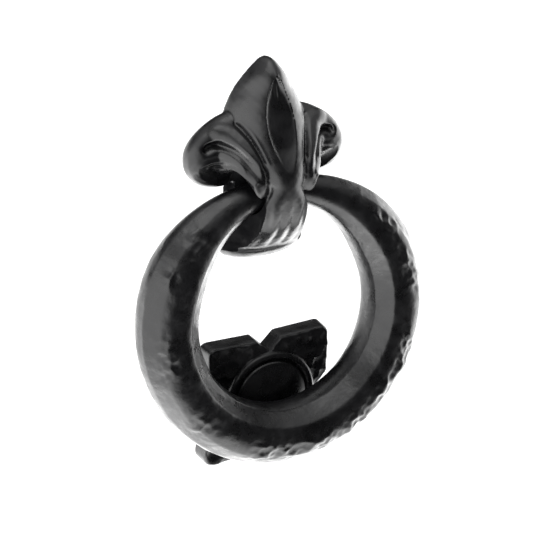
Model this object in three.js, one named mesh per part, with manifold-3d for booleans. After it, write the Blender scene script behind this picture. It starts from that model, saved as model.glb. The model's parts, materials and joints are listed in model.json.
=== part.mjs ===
// Ring door knocker: a fleur-de-lis head with a swinging ring, and a notched
// strike plate with a domed button below it. Millimetres, +X right, +Y into
// the door, +Z up. The door's front face is the plane Y = 0, and the origin
// is on it, straight behind the ring's pivot.
import * as THREE from 'three';
import { mergeVertices } from 'three/addons/utils/BufferGeometryUtils.js';
import Module from 'manifold-3d';

// ---- Driving dimensions ----------------------------------------------------
const RING_R = 45;            // ring, centre-line radius
const RING_THIN = 4.6;        // ring's tube radius inside the head
const RING_THICK = 11.3;      // ring's tube radius round its sides and bottom
const TAPER_END = 72;         // degrees from the top where the taper ends
const PIVOT_Y = -12.9;        // the ring's pivot stands this far off the door
const REST_LEAN = 6.4;        // degrees, the ring's foot leans out on the button

const HEAD_TOP = 45.8;        // tip of the middle petal
const HEAD_FOOT = -28;        // lowest point of the throat
const BORE_GAP = 0.8;         // clearance between the ring and its bore
const BORE_REACH = 14.2;       // half-length of the bore's cutter
const LOBE = { x: 18.5, z: 13.1, rx: 12.3, rz: 11.8, high: 9, rim: 3, foot: 0.9 };

const PLATE_Z = -83;          // centre of the strike plate
const PLATE_T = 7.8;          // its thickness
const PLATE_TOP_W = 25.2;     // half-width across its upper lobes
const PLATE_FOOT_W = 28.6;    // half-width across its lower lobes
const PLATE_H = 23.9;         // half-height
const NOTCH_W = 4.9;          // half-width of each V notch
const NOTCH_DEEP = 5.2;       // depth of each V notch
const PLATE_CORNER = 3.2;     // corner radius of its lobes
const MOULD_R = 16.6;         // crest radius of the round moulding
const MOULD_HALF = 1.6;       // half-width of the moulding
const MOULD_HIGH = 1.5;
const BUTTON_R = 14.4;        // domed button
const BUTTON_HIGH = 4.0;      // its height over the plate's face

const SHANK_R = 3;            // M6 fixings, drawn plain
const FIT_GAP = 0.3;          // gap between pieces that meet
const DOOR_T = 20;            // the door that the fixings clamp
const SHANK_END = 30;         // where both threaded ends stop
const STUD_Z = 8;             // height of the head's stud
const STUD_DEEP = 8;          // depth of the tapped hole in the head
const NUT_AF = 10;            // nut, across its flats
const NUT_T = 5;
const WASHER_T = 1.5;

// ---- Materials -------------------------------------------------------------
const castBlack = () => new THREE.MeshStandardMaterial({ color: 0x17181a, roughness: 0.32, metalness: 0.6 });
const boltBlack = () => new THREE.MeshStandardMaterial({ color: 0x1c1d1f, roughness: 0.3, metalness: 0.6 });
const zincSteel = () => new THREE.MeshStandardMaterial({ color: 0xb9bcc0, roughness: 0.35, metalness: 0.9 });

// ---- Joining and cutting ---------------------------------------------------
const wasm = await Module();
wasm.setup();

// A closed three.js geometry as a manifold solid, without the empty triangles
// that poles and full circles leave once their vertices are merged.
function solid(geometry) {
  const g = geometry.clone();
  g.deleteAttribute('normal');
  g.deleteAttribute('uv');
  const merged = mergeVertices(g, 1e-4);
  const corners = merged.index.array;
  const kept = [];
  for (let i = 0; i < corners.length; i += 3) {
    const [a, b, c] = corners.slice(i, i + 3);
    if (a !== b && b !== c && c !== a) kept.push(a, b, c);
  }
  return new wasm.Manifold(new wasm.Mesh({
    numProp: 3,
    vertProperties: new Float32Array(merged.attributes.position.array),
    triVerts: new Uint32Array(kept),
  }));
}

// A manifold solid as a three.js geometry.
function geometryOf(body) {
  const mesh = body.getMesh();
  const g = new THREE.BufferGeometry();
  g.setAttribute('position', new THREE.BufferAttribute(new Float32Array(mesh.vertProperties), 3));
  g.setIndex(new THREE.BufferAttribute(new Uint32Array(mesh.triVerts), 1));
  g.computeVertexNormals();
  return g;
}

function named(name, geometry, material) {
  const mesh = new THREE.Mesh(geometry, material);
  mesh.name = name;
  return mesh;
}

// A turned shape whose axis is the door's normal: profile points are
// [radius, y], and y grows into the door.
function turned(profile, segments = 40) {
  return new THREE.LatheGeometry(profile.map(([r, y]) => new THREE.Vector2(r, y)), segments);
}

// ---- Ring ------------------------------------------------------------------
const smoothstep = (v) => { const s = Math.min(Math.max(v, 0), 1); return s * s * (3 - 2 * s); };

// The ring's tube radius at an angle in degrees from its top.
function tubeRadius(fromTop) {
  return RING_THIN + (RING_THICK - RING_THIN) * smoothstep(fromTop / TAPER_END);
}

// The ring hangs from the origin of its own group, in the plane Y = 0.
function ringGeometry() {
  const g = new THREE.TorusGeometry(RING_R, 1, 18, 80);
  g.rotateX(Math.PI / 2);
  const p = g.attributes.position;
  for (let i = 0; i < p.count; i += 1) {
    const x = p.getX(i);
    const z = p.getZ(i);
    const out = Math.hypot(x, z);
    const fromTop = Math.abs(THREE.MathUtils.radToDeg(Math.atan2(x, z)));
    const tube = tubeRadius(fromTop);
    const r = RING_R + (out - RING_R) * tube;
    p.setXYZ(i, (x / out) * r, p.getY(i) * tube, (z / out) * r - RING_R);
  }
  return geometryOf(solid(g));
}

// ---- Head ------------------------------------------------------------------
// Sections of the petal and throat from foot to tip: half-width on the door,
// height off the door, and z.
const HEAD_SECTIONS = [
  [13.5, 3, HEAD_FOOT], [15.7, 8.2, -25.4], [14.8, 15, -20], [13.8, 20.8, -12.5],
  [13.2, 24.6, -4], [14.4, 25.2, 4], [15.2, 22.8, 11], [15.2, 19.8, 18.5],
  [14.2, 17, 26], [11.5, 15.2, 31.5], [8.6, 13.6, 36], [5.7, 11.6, 39.8],
  [2.8, 9, 43.2], [0.7, 5.8, HEAD_TOP],
];
const HEAD_SQUARE = 2.5;      // how square the D-shaped sections are

// The petal and throat: a column whose round sections are pressed into D
// shapes, flat on the door.
function petalGeometry() {
  const along = new THREE.CatmullRomCurve3(HEAD_SECTIONS.map((s) => new THREE.Vector3(...s)), false, 'centripetal');
  const rows = 30;
  const g = new THREE.CylinderGeometry(1, 1, 1, 32, rows);
  g.rotateX(Math.PI / 2);
  const p = g.attributes.position;
  const power = (v) => Math.sign(v) * Math.abs(v) ** (2 / HEAD_SQUARE);
  for (let i = 0; i < p.count; i += 1) {
    const section = along.getPoint(Math.min(Math.max(p.getZ(i) + 0.5, 0), 1));
    const x = power(p.getX(i)) * section.x;
    const y = p.getY(i) < 0 ? power(p.getY(i)) * section.y : 0;
    p.setXYZ(i, x, y, section.z);
  }
  return g;
}

// One side lobe: a domed disc stretched to its own outline, drawn in a little
// towards the door.
function lobeGeometry(side) {
  const profile = [];
  const steps = 8;
  for (let i = 0; i <= steps; i += 1) {
    const a = (i / steps) * Math.PI / 2;
    profile.push([Math.sin(a) ** 0.8, -LOBE.rim - Math.cos(a) ** 0.7 * (LOBE.high - LOBE.rim)]);
  }
  profile.push([LOBE.foot, 0], [0, 0]);
  const g = turned(profile, 32);
  g.scale(LOBE.rx, 1, LOBE.rz);
  g.translate(side * LOBE.x, 0, LOBE.z);
  return g;
}

// The room that the ring needs to turn in the throat: a spool round the
// pivot, wider where the ring bends down and thickens.
function boreCutter() {
  const profile = [new THREE.Vector2(0, -BORE_REACH)];
  const steps = 12;
  for (let i = 0; i <= steps; i += 1) {
    const x = -BORE_REACH + (2 * BORE_REACH * i) / steps;
    const sag = RING_R - Math.sqrt(RING_R ** 2 - x ** 2);
    const fromTop = THREE.MathUtils.radToDeg(Math.asin(Math.abs(x) / RING_R));
    profile.push(new THREE.Vector2(sag + tubeRadius(fromTop) + BORE_GAP, x));
  }
  profile.push(new THREE.Vector2(0, BORE_REACH));
  const g = new THREE.LatheGeometry(profile, 32);
  g.rotateZ(-Math.PI / 2);
  g.translate(0, PIVOT_Y, 0);
  return g;
}

function studHole() {
  const long = STUD_DEEP + 2;
  const g = new THREE.CylinderGeometry(SHANK_R + FIT_GAP, SHANK_R + FIT_GAP, long, 24);
  g.translate(0, long / 2 - STUD_DEEP, STUD_Z);
  return g;
}

function headGeometry() {
  const body = solid(petalGeometry())
    .add(solid(lobeGeometry(-1)))
    .add(solid(lobeGeometry(1)))
    .subtract(solid(boreCutter()))
    .subtract(solid(studHole()));
  return geometryOf(body);
}

// ---- Strike plate ----------------------------------------------------------
// Right half of the outline from the top notch to the foot notch, then its
// mirror image. Each lobe's outer corner is an arc.
function plateShape() {
  const side = PLATE_TOP_W - NOTCH_DEEP;
  const waist = (PLATE_TOP_W + PLATE_FOOT_W) / 2 - 2.4;
  const corners = [
    { at: [0, PLATE_H - NOTCH_DEEP] }, { at: [NOTCH_W, PLATE_H - 0.6] },
    { at: [PLATE_TOP_W, PLATE_H], round: PLATE_CORNER },
    { at: [waist, NOTCH_W] }, { at: [side, 0] }, { at: [waist, -NOTCH_W] },
    { at: [PLATE_FOOT_W, -PLATE_H], round: PLATE_CORNER * 1.6 },
    { at: [NOTCH_W, -PLATE_H + 0.6] }, { at: [0, -PLATE_H + NOTCH_DEEP] },
  ];
  const mirrored = corners.slice(1, -1).reverse().map(({ at, round }) => ({ at: [-at[0], at[1]], round }));
  const all = [...corners, ...mirrored];
  const shape = new THREE.Shape();
  all.forEach(({ at, round }, i) => {
    const here = new THREE.Vector2(...at);
    if (!round) {
      if (i === 0) shape.moveTo(here.x, here.y);
      else shape.lineTo(here.x, here.y);
      return;
    }
    const before = new THREE.Vector2(...all[i - 1].at).sub(here).setLength(round).add(here);
    const after = new THREE.Vector2(...all[(i + 1) % all.length].at).sub(here).setLength(round).add(here);
    shape.lineTo(before.x, before.y);
    shape.quadraticCurveTo(here.x, here.y, after.x, after.y);
  });
  shape.closePath();
  const hole = new THREE.Path();
  hole.absarc(0, 0, SHANK_R + 1, 0, Math.PI * 2, false);   // against the outline's turn
  shape.holes.push(hole);
  return shape;
}

// The raised moulding: a half-round ring that stands a little into the plate.
function mouldingGeometry() {
  const section = [];
  const steps = 8;
  for (let i = 0; i <= steps; i += 1) {
    const a = (i / steps) * Math.PI;
    section.push([MOULD_R + Math.cos(a) * MOULD_HALF, -PLATE_T - Math.sin(a) * MOULD_HIGH]);
  }
  section.push([MOULD_R - MOULD_HALF, -PLATE_T + 1], [MOULD_R + MOULD_HALF, -PLATE_T + 1]);
  section.push(section[0]);
  return turned(section.reverse(), 48);
}

function plateGeometry() {
  const g = new THREE.ExtrudeGeometry(plateShape(), { depth: PLATE_T, bevelEnabled: false, curveSegments: 6 });
  g.rotateX(Math.PI / 2);
  return geometryOf(solid(g).add(solid(mouldingGeometry())));
}

// ---- Fixings ---------------------------------------------------------------
// The domed button and its shank, which runs through the plate and the door.
function strikeBoltGeometry() {
  const seat = -PLATE_T - FIT_GAP;
  const crown = -PLATE_T - BUTTON_HIGH;
  const ball = (BUTTON_R ** 2 + (seat - crown - 0.8) ** 2) / (2 * (seat - crown - 0.8));
  const profile = [];
  const steps = 8;
  const spread = Math.asin(BUTTON_R / ball);
  for (let i = 0; i <= steps; i += 1) {
    const a = (i / steps) * spread;
    profile.push([Math.sin(a) * ball, crown + ball * (1 - Math.cos(a))]);
  }
  profile.push([BUTTON_R, seat], [SHANK_R, seat], [SHANK_R, SHANK_END - 0.8], [SHANK_R - 0.8, SHANK_END], [0, SHANK_END]);
  return geometryOf(solid(turned(profile, 40)));
}

function studGeometry() {
  const start = -STUD_DEEP + 0.5;
  const profile = [
    [0, start], [SHANK_R - 0.8, start], [SHANK_R, start + 0.8],
    [SHANK_R, SHANK_END - 0.8], [SHANK_R - 0.8, SHANK_END], [0, SHANK_END],
  ];
  return geometryOf(solid(turned(profile, 24)));
}

function washerGeometry(outer) {
  const inner = SHANK_R + FIT_GAP;
  const y = [DOOR_T, DOOR_T + WASHER_T];
  const profile = [[inner, y[0]], [outer, y[0]], [outer, y[1]], [inner, y[1]], [inner, y[0]]];
  return geometryOf(solid(turned(profile, 32)));
}

function nutGeometry() {
  const corner = NUT_AF / Math.sqrt(3);
  const shape = new THREE.Shape();
  for (let i = 0; i < 6; i += 1) {
    const a = (i * Math.PI) / 3;
    const at = [Math.cos(a) * corner, Math.sin(a) * corner];
    if (i === 0) shape.moveTo(...at);
    else shape.lineTo(...at);
  }
  shape.closePath();
  const hole = new THREE.Path();
  hole.absarc(0, 0, SHANK_R + FIT_GAP, 0, Math.PI * 2, true);
  shape.holes.push(hole);
  const g = new THREE.ExtrudeGeometry(shape, { depth: NUT_T, bevelEnabled: false, curveSegments: 12 });
  g.rotateX(Math.PI / 2);
  g.translate(0, DOOR_T + WASHER_T + FIT_GAP + NUT_T, 0);
  return geometryOf(solid(g));
}

// ---- Assembly --------------------------------------------------------------
const knocker = new THREE.Group();
knocker.name = 'door_knocker';

const head = new THREE.Group();
head.add(named('head_casting', headGeometry(), castBlack()));
const headFixings = new THREE.Group();
headFixings.position.z = STUD_Z;
headFixings.add(named('head_stud', studGeometry(), zincSteel()));
headFixings.add(named('head_washer', washerGeometry(9), zincSteel()));
headFixings.add(named('head_nut', nutGeometry(), zincSteel()));
head.add(headFixings);
knocker.add(head);

const swing = new THREE.Group();
swing.position.y = PIVOT_Y;
swing.rotation.x = THREE.MathUtils.degToRad(-REST_LEAN);
swing.add(named('knocker_ring', ringGeometry(), castBlack()));
knocker.add(swing);

const strike = new THREE.Group();
strike.position.z = PLATE_Z;
strike.add(named('strike_plate', plateGeometry(), castBlack()));
strike.add(named('strike_bolt', strikeBoltGeometry(), boltBlack()));
strike.add(named('strike_washer', washerGeometry(6.25), zincSteel()));
strike.add(named('strike_nut', nutGeometry(), zincSteel()));
knocker.add(strike);

export default knocker;
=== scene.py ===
"""Ring door knocker with a fleur-de-lis head, in black enamelled cast iron.

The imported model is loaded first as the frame, in metres: +X right, +Y into
the door, +Z up, with the door's front face at Y = 0. The castings, the ring
and the fixings are then made again as fine surfaces in the same places.
Shapes are worked out in millimetres and put into their meshes in metres.
"""

import json

import bpy
import numpy as np
from bpy.props import BoolProperty, FloatProperty, FloatVectorProperty, PointerProperty
from mathutils import Matrix, Vector

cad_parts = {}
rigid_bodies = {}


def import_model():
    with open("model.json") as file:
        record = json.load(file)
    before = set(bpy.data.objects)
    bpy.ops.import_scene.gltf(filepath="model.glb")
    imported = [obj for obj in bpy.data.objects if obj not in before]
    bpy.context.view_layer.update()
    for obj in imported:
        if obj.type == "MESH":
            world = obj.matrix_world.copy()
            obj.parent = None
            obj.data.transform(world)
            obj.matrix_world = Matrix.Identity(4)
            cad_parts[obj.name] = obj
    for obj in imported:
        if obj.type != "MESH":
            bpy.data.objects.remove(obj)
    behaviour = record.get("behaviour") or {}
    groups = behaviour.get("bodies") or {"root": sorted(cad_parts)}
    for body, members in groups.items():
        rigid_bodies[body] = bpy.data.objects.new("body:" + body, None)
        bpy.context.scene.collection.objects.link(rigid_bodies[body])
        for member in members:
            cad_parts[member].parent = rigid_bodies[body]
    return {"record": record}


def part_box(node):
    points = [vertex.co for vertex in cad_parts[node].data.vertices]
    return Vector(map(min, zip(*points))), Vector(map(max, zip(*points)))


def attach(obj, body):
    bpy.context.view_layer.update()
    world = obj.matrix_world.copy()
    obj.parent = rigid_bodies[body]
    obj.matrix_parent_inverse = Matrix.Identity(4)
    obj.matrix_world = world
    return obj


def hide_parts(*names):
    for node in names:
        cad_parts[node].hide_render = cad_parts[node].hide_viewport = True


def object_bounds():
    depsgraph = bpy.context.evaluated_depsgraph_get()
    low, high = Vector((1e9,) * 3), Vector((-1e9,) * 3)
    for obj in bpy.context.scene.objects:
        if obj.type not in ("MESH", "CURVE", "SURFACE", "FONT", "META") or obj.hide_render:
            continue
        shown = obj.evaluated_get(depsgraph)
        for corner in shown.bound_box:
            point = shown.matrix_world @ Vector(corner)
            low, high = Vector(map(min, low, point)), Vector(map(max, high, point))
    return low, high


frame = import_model()

bl_info = {
    "name": "Ring Door Knocker",
    "version": (1, 0, 0),
    "blender": (4, 5, 0),
    "location": "View3D > Sidebar > Knocker",
    "description": "Builds a cast ring knocker, its strike plate and its fixings on a packed frame",
    "category": "Add Mesh",
}

MM = 0.001
LOADED_BOX = [list(corner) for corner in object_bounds()]

SWING = frame["record"]["behaviour"]["joints"][0]
PIVOT_Y = SWING["pos_m"][1] / MM
PLATE_BOX = [np.array(c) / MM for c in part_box("strike_plate")]
BOLT_BOX = [np.array(c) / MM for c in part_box("strike_bolt")]
HEAD_BOX = [np.array(c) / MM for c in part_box("head_casting")]
STUD_BOX = [np.array(c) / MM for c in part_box("head_stud")]

FIXED = SWING["parent"]
MOVING = SWING["child"]

# The M6 screws' radius, and the radius of every plain hole about them.
SCREW = 3.0
HOLE = 3.3


# ---- Sizes a user would change ----------------------------------------------


class RingSizes(bpy.types.PropertyGroup):
    radius: FloatProperty(
        name="Centre-Line Radius",
        description="Radius of the middle of the ring's tube",
        default=0.045,
        unit="LENGTH",
    )
    thin: FloatProperty(
        name="Thin Radius",
        description="Tube radius where the ring passes through the head",
        default=0.0046,
        unit="LENGTH",
    )
    thick: FloatProperty(
        name="Thick Radius",
        description="Tube radius round the ring's sides and foot",
        default=0.0113,
        unit="LENGTH",
    )
    taper_end: FloatProperty(
        name="Taper End",
        description="Angle from the top of the ring where it reaches its full thickness",
        default=1.2566,
        unit="ROTATION",
    )
    lean: FloatProperty(
        name="Rest Lean",
        description="How far the ring leans out where it rests on the button",
        default=0.1117,
        unit="ROTATION",
    )
    dent_depth: FloatProperty(
        name="Hammer Depth",
        description="Depth of the hammer dents on the ring's face",
        default=0.00042,
        unit="LENGTH",
    )


class HeadSizes(bpy.types.PropertyGroup):
    flute_depth: FloatProperty(
        name="Flute Depth",
        description="Depth of the flutes down the throat",
        default=0.0008,
        unit="LENGTH",
    )
    petal_groove: FloatProperty(
        name="Petal Groove",
        description="Depth of the almond-shaped hollow down the middle petal",
        default=0.002,
        unit="LENGTH",
    )
    curl_depth: FloatProperty(
        name="Curl Depth",
        description="Depth of the groove that curls round each side lobe",
        default=0.0026,
        unit="LENGTH",
    )


class PlateSizes(bpy.types.PropertyGroup):
    thickness: FloatProperty(
        name="Thickness",
        description="Thickness of the strike plate",
        default=0.0078,
        unit="LENGTH",
    )
    moulding_radius: FloatProperty(
        name="Moulding Radius",
        description="Crest radius of the round moulding",
        default=0.0166,
        unit="LENGTH",
    )
    dent_depth: FloatProperty(
        name="Hammer Depth",
        description="Depth of the hammer dents on the plate's face",
        default=0.0004,
        unit="LENGTH",
    )


class FixingSizes(bpy.types.PropertyGroup):
    pitch: FloatProperty(
        name="Thread Pitch",
        description="Pitch of the M6 thread",
        default=0.001,
        unit="LENGTH",
    )
    thread_depth: FloatProperty(
        name="Thread Depth",
        description="Depth of the thread's groove",
        default=0.00055,
        unit="LENGTH",
    )


class Finishes(bpy.types.PropertyGroup):
    enamel: FloatVectorProperty(
        name="Enamel",
        description="Colour of the black enamel",
        subtype="COLOR",
        default=(0.0035, 0.0035, 0.004),
        min=0.0,
        max=1.0,
    )
    zinc: FloatVectorProperty(
        name="Zinc",
        description="Colour of the zinc plate on the hidden fixings",
        subtype="COLOR",
        default=(0.5, 0.51, 0.53),
        min=0.0,
        max=1.0,
    )
    hammered: BoolProperty(
        name="Hammered Faces",
        description="Cover the ring and the plate with hammer dents",
        default=True,
    )


# ---- Shared shapes ----------------------------------------------------------


def smoothstep(v):
    """3 v squared minus 2 v cubed, with v held between 0 and 1."""
    s = np.clip(v, 0.0, 1.0)
    return s * s * (3.0 - 2.0 * s)


def through(stations, s):
    """A Catmull-Rom curve through the stations, at s from 0 to 1 along them."""
    stations = np.asarray(stations, float)
    before = 2 * stations[:1] - stations[1:2]
    after = 2 * stations[-1:] - stations[-2:-1]
    padded = np.vstack([before, stations, after])
    at = np.clip(s, 0.0, 1.0) * (len(stations) - 1)
    i = np.minimum(at.astype(int), len(stations) - 2)
    t = (at - i)[..., None]
    a, b, c, d = (padded[i + k] for k in range(4))
    square, cube = (2 * a - 5 * b + 4 * c - d) * t**2, (3 * b - a - 3 * c + d) * t**3
    return 0.5 * (2 * b + (c - a) * t + square + cube)


def ring_of_angles(count):
    """Evenly spaced angles once round, without the last."""
    return np.linspace(0.0, 2 * np.pi, count, endpoint=False)


def signed_power(v, p):
    """The sign of v times its size to the power p."""
    return np.sign(v) * np.abs(v) ** p


def bell(v, width):
    """The exponential of minus (v over width) squared: 1 where v is 0, and
    falling away on both sides."""
    return np.exp(-((v / width) ** 2))


def turn_between(v, middle):
    """The turn from the angle middle to the angle v, at most half a turn
    either way."""
    return np.angle(np.exp(1j * (v - middle)))


def nearest_squared(points, seeds):
    """For each point, a soft minimum of its squared distances to the seeds:
    minus the logarithm of the sum of exp(-k d^2), over k. The points are
    taken a batch at a time, to save memory."""
    k = 0.9
    batch = 4096
    out = np.empty(len(points))
    for start in range(0, len(points), batch):
        part = points[start : start + batch]
        d2 = ((part[:, None, :] - seeds[None, :, :]) ** 2).sum(-1)
        least = d2.min(1)
        soft = np.log(np.exp(-k * (d2 - least[:, None])).sum(1)) / k
        out[start : start + batch] = least - soft
    return out


def dents(points, seeds, size):
    """Hammer dents: the squared distance to the nearest seed over half the
    size squared, so a round bowl is 0 at its middle and 1 on the arris
    between two bowls that are size apart. It is held from -0.2 to 1.6."""
    return np.clip(nearest_squared(points, seeds) / (size / 2) ** 2, -0.2, 1.6)


def distance_to_path(x, z, path):
    """Each point's distance to the nearest sample of a path, and how far
    along the path that is, 0 to 1."""
    d2 = (x[:, None] - path[None, :, 0]) ** 2 + (z[:, None] - path[None, :, 1]) ** 2
    nearest = d2.argmin(1)
    return np.sqrt(d2[np.arange(len(x)), nearest]), nearest / (len(path) - 1)


def waviness(points, size, seed):
    """A smooth random surface between about -1 and 1: the sum of eight sine
    waves whose directions are random and whose lengths are near size."""
    rng = np.random.default_rng(seed)
    directions = rng.normal(size=(8, 3))
    directions /= np.linalg.norm(directions, axis=1)[:, None]
    lengths = size * rng.uniform(0.7, 1.6, 8)
    phases = rng.uniform(0, 2 * np.pi, 8)
    return np.sin(points @ (directions / lengths[:, None]).T * 2 * np.pi + phases).sum(1) / 4


# ---- Meshes from grids ------------------------------------------------------


def grid_faces(rows, columns, rows_close, columns_close):
    """Quads between neighbouring samples of a rows by columns grid."""
    r = np.arange(rows if rows_close else rows - 1)
    c = np.arange(columns if columns_close else columns - 1)
    r, c = (a.ravel() for a in np.meshgrid(r, c, indexing="ij"))
    r1, c1 = (r + 1) % rows, (c + 1) % columns
    return np.stack([r * columns + c, r1 * columns + c, r1 * columns + c1, r * columns + c1], 1)


def signed_volume(points, faces):
    """A sixth of the sum of each triangle's a . (b x c)."""
    a, b, c = (points[faces[:, k]] for k in (0, 1, 2))
    volume = np.einsum("ij,ij->i", a, np.cross(b, c)).sum()
    a, b, c = (points[faces[:, k]] for k in (0, 2, 3))
    return (volume + np.einsum("ij,ij->i", a, np.cross(b, c)).sum()) / 6


def closed_shell(grid, rows_close=False):
    """Points and outward faces from a grid. Columns always close. Rows close
    too, or each end is filled with a fan about its middle."""
    rows, columns = grid.shape[:2]
    points = grid.reshape(-1, 3)
    faces = grid_faces(rows, columns, rows_close, True)
    if not rows_close:
        first = np.arange(columns)
        after = (first + 1) % columns
        middles = np.stack([grid[0].mean(0), grid[-1].mean(0)])
        low = np.full(columns, len(points))
        last = (rows - 1) * columns
        points = np.vstack([points, middles])
        fans = np.vstack(
            [
                np.stack([low, first, after, after], 1),
                np.stack([low + 1, last + after, last + first, last + first], 1),
            ]
        )
        faces = np.vstack([faces, fans])
    return points, faces if signed_volume(points, faces) > 0 else faces[:, ::-1]


def surface(name, *grids, rows_close=False):
    """One mesh, in metres, of the closed shells of grids in millimetres."""
    shells = [closed_shell(grid, rows_close) for grid in grids]
    starts = np.cumsum([0] + [len(points) for points, _ in shells])
    points = np.vstack([points for points, _ in shells])
    faces = np.vstack([faces + start for (_, faces), start in zip(shells, starts)])
    mesh = bpy.data.meshes.new(name)
    polygons = [tuple(dict.fromkeys(face)) for face in faces.tolist()]
    mesh.from_pydata((points * MM).tolist(), [], polygons)
    mesh.update()
    return mesh


def new_piece(name, *grids, rows_close=False):
    """A smooth-shaded object, at the origin, of the surface of the grids."""
    mesh = surface(name, *grids, rows_close=rows_close)
    piece = bpy.data.objects.new(name, mesh)
    bpy.context.scene.collection.objects.link(piece)
    mesh.polygons.foreach_set("use_smooth", np.ones(len(mesh.polygons), bool))
    return piece


def apply_modifiers(piece):
    """Works the piece's modifiers into its mesh and clears them."""
    graph = bpy.context.evaluated_depsgraph_get()
    mesh = bpy.data.meshes.new_from_object(piece.evaluated_get(graph))
    piece.modifiers.clear()
    old = piece.data
    piece.data = mesh
    bpy.data.meshes.remove(old)
    mesh.polygons.foreach_set("use_smooth", np.ones(len(mesh.polygons), bool))


def points_of(mesh):
    """The mesh's points, in millimetres."""
    flat = np.empty(len(mesh.vertices) * 3)
    mesh.vertices.foreach_get("co", flat)
    return flat.reshape(-1, 3) / MM


def normals_of(mesh):
    """The mesh's normals, one for each point."""
    flat = np.empty(len(mesh.vertices) * 3)
    mesh.vertices.foreach_get("normal", flat)
    return flat.reshape(-1, 3)


def set_points(mesh, points):
    """Moves the mesh's points to the ones given in millimetres."""
    mesh.vertices.foreach_set("co", (points * MM).ravel())
    mesh.update()


def finish_piece(piece, body, slot, material, *nodes):
    """Gives the piece its material and the body it rides on, and hides the nodes it stands for. The
    finish slot is not used."""
    piece.data.materials.clear()
    piece.data.materials.append(material)
    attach(piece, body)
    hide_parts(*nodes)


# ---- Ring -------------------------------------------------------------------

# Angles round the tube's section, from outwards by way of the back: the
# middle of the inner face, the front inner corner, the two soft flats beside
# the front, and the middle of the hammered front.
INNER_FACE = np.radians(200)
INNER_ARRIS = np.radians(246)
FLATS = np.radians([226.0, 325.0])
HAMMERED_MIDDLE = np.radians(296)
HAMMERED_HALF = 0.42

# Half the angle of a soft flat, and how much of the true flat is taken.
FLAT_HALF = 0.32
FLAT_SHARE = 0.8

# The ring is plain and round where it turns in the head. Away from the top
# its cast shape fades in, from one angle and over another.
FADE_FROM, FADE_OVER = 0.3, 0.5

# Hammer blows round the ring and round its tube, with their spacing. Outside
# the patches a heavy blow keeps a small share of its depth. A light blow goes
# less deep than a heavy one.
HEAVY_BLOWS, HEAVY_SPACING = (52, 12), 6.0
LIGHT_BLOWS, LIGHT_SPACING = (96, 22), 3.0
PLAIN_SHARE = 0.16
LIGHT_SHARE = 0.75

# The uneven cast skin is set in by this, so its crests stay near the tube.
SKIN_SET_IN = 0.12


def tube_radius(sizes, from_top):
    """The thin radius plus the rise to the thick one, eased by a smoothstep
    of the angle from the top over the taper's end."""
    thin, thick = sizes.thin / MM, sizes.thick / MM
    return thin + (thick - thin) * smoothstep(from_top / sizes.taper_end)


def hammer_seeds(sizes, around, across):
    """Middles of the hammer blows: a jittered grid over the tube's skin."""
    radius = sizes.radius / MM
    jitter = 0.45
    rng = np.random.default_rng(4)
    u, v = np.meshgrid(np.arange(around), np.arange(across), indexing="ij")
    u = (u + rng.uniform(-jitter, jitter, u.shape)) / around * 2 * np.pi
    v = (v + rng.uniform(-jitter, jitter, v.shape)) / across * 2 * np.pi
    tube = tube_radius(sizes, np.minimum(np.abs(u), 2 * np.pi - np.abs(u)))
    out = radius + tube * np.cos(v)
    return np.stack([out * np.sin(u), tube * np.sin(v), out * np.cos(u) - radius], -1).reshape(-1, 3)


def ring_grid(sizes, hammered):
    """The tube's section carried round the ring. At angle u from the top and
    v round the section, from outwards by way of the back, the section's
    radius is the tube radius times 1 plus a bell at the front inner corner,
    less one along the inner face and one beside the corner, and then times
    cos(half) over cos(turn) across each of two soft flats. Slow random waves
    make the skin uneven. Heavy and light hammer blows sink into it, mostly in
    patches along the front. Then the whole leans about the pivot."""
    radius = sizes.radius / MM
    u, v = np.meshgrid(ring_of_angles(560), ring_of_angles(160), indexing="ij")
    from_top = np.minimum(u, 2 * np.pi - u)
    full = smoothstep((from_top - FADE_FROM) / FADE_OVER)
    tube = tube_radius(sizes, from_top)

    inner = bell(v - INNER_FACE, 0.5)
    arris = bell(v - INNER_ARRIS, 0.16)
    beside = bell(v - INNER_ARRIS - 0.42, 0.24)
    section = 1 + full * (0.01 * arris - 0.035 * inner - 0.014 * beside)
    for middle in FLATS:
        turn = turn_between(v, middle)
        flat = np.where(np.abs(turn) < FLAT_HALF, np.cos(FLAT_HALF) / np.cos(turn), 1.0)
        section = section * (1 - FLAT_SHARE * full * (1 - flat))
    out = radius + tube * section * np.cos(v)
    grid = np.stack([out * np.sin(u), tube * section * np.sin(v), out * np.cos(u) - radius], -1)

    outward = np.stack([np.cos(v) * np.sin(u), np.sin(v), np.cos(v) * np.cos(u)], -1)
    points = grid.reshape(-1, 3)
    uneven = 0.1 * waviness(points, size=17.0, seed=8) + 0.035 * waviness(points, size=6.0, seed=2)
    grid = grid + outward * (full.ravel() * (uneven - SKIN_SET_IN)).reshape(u.shape)[..., None]
    if hammered:
        heavy = dents(points, hammer_seeds(sizes, *HEAVY_BLOWS), HEAVY_SPACING).reshape(u.shape)
        light = dents(points, hammer_seeds(sizes, *LIGHT_BLOWS), LIGHT_SPACING).reshape(u.shape)
        patches = smoothstep(waviness(points, size=15.0, seed=12) * 0.9 + 0.55).reshape(u.shape)
        front = np.exp(-((turn_between(v, HAMMERED_MIDDLE) / HAMMERED_HALF) ** 4))
        share = PLAIN_SHARE + (1 - PLAIN_SHARE) * front * patches
        heavy_depth = sizes.dent_depth / MM * full * share * (1 - 0.8 * inner)
        light_depth = LIGHT_SHARE * sizes.dent_depth / MM * full * front * patches
        sunk = heavy_depth * (heavy - 1) + light_depth * (light - 1)
        grid = grid + outward * sunk[..., None]

    y, z = grid[..., 1].copy(), grid[..., 2].copy()
    lean = sizes.lean
    grid[..., 1] = PIVOT_Y + y * np.cos(lean) + z * np.sin(lean)
    grid[..., 2] = z * np.cos(lean) - y * np.sin(lean)
    return grid


# ---- Head -------------------------------------------------------------------

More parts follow.
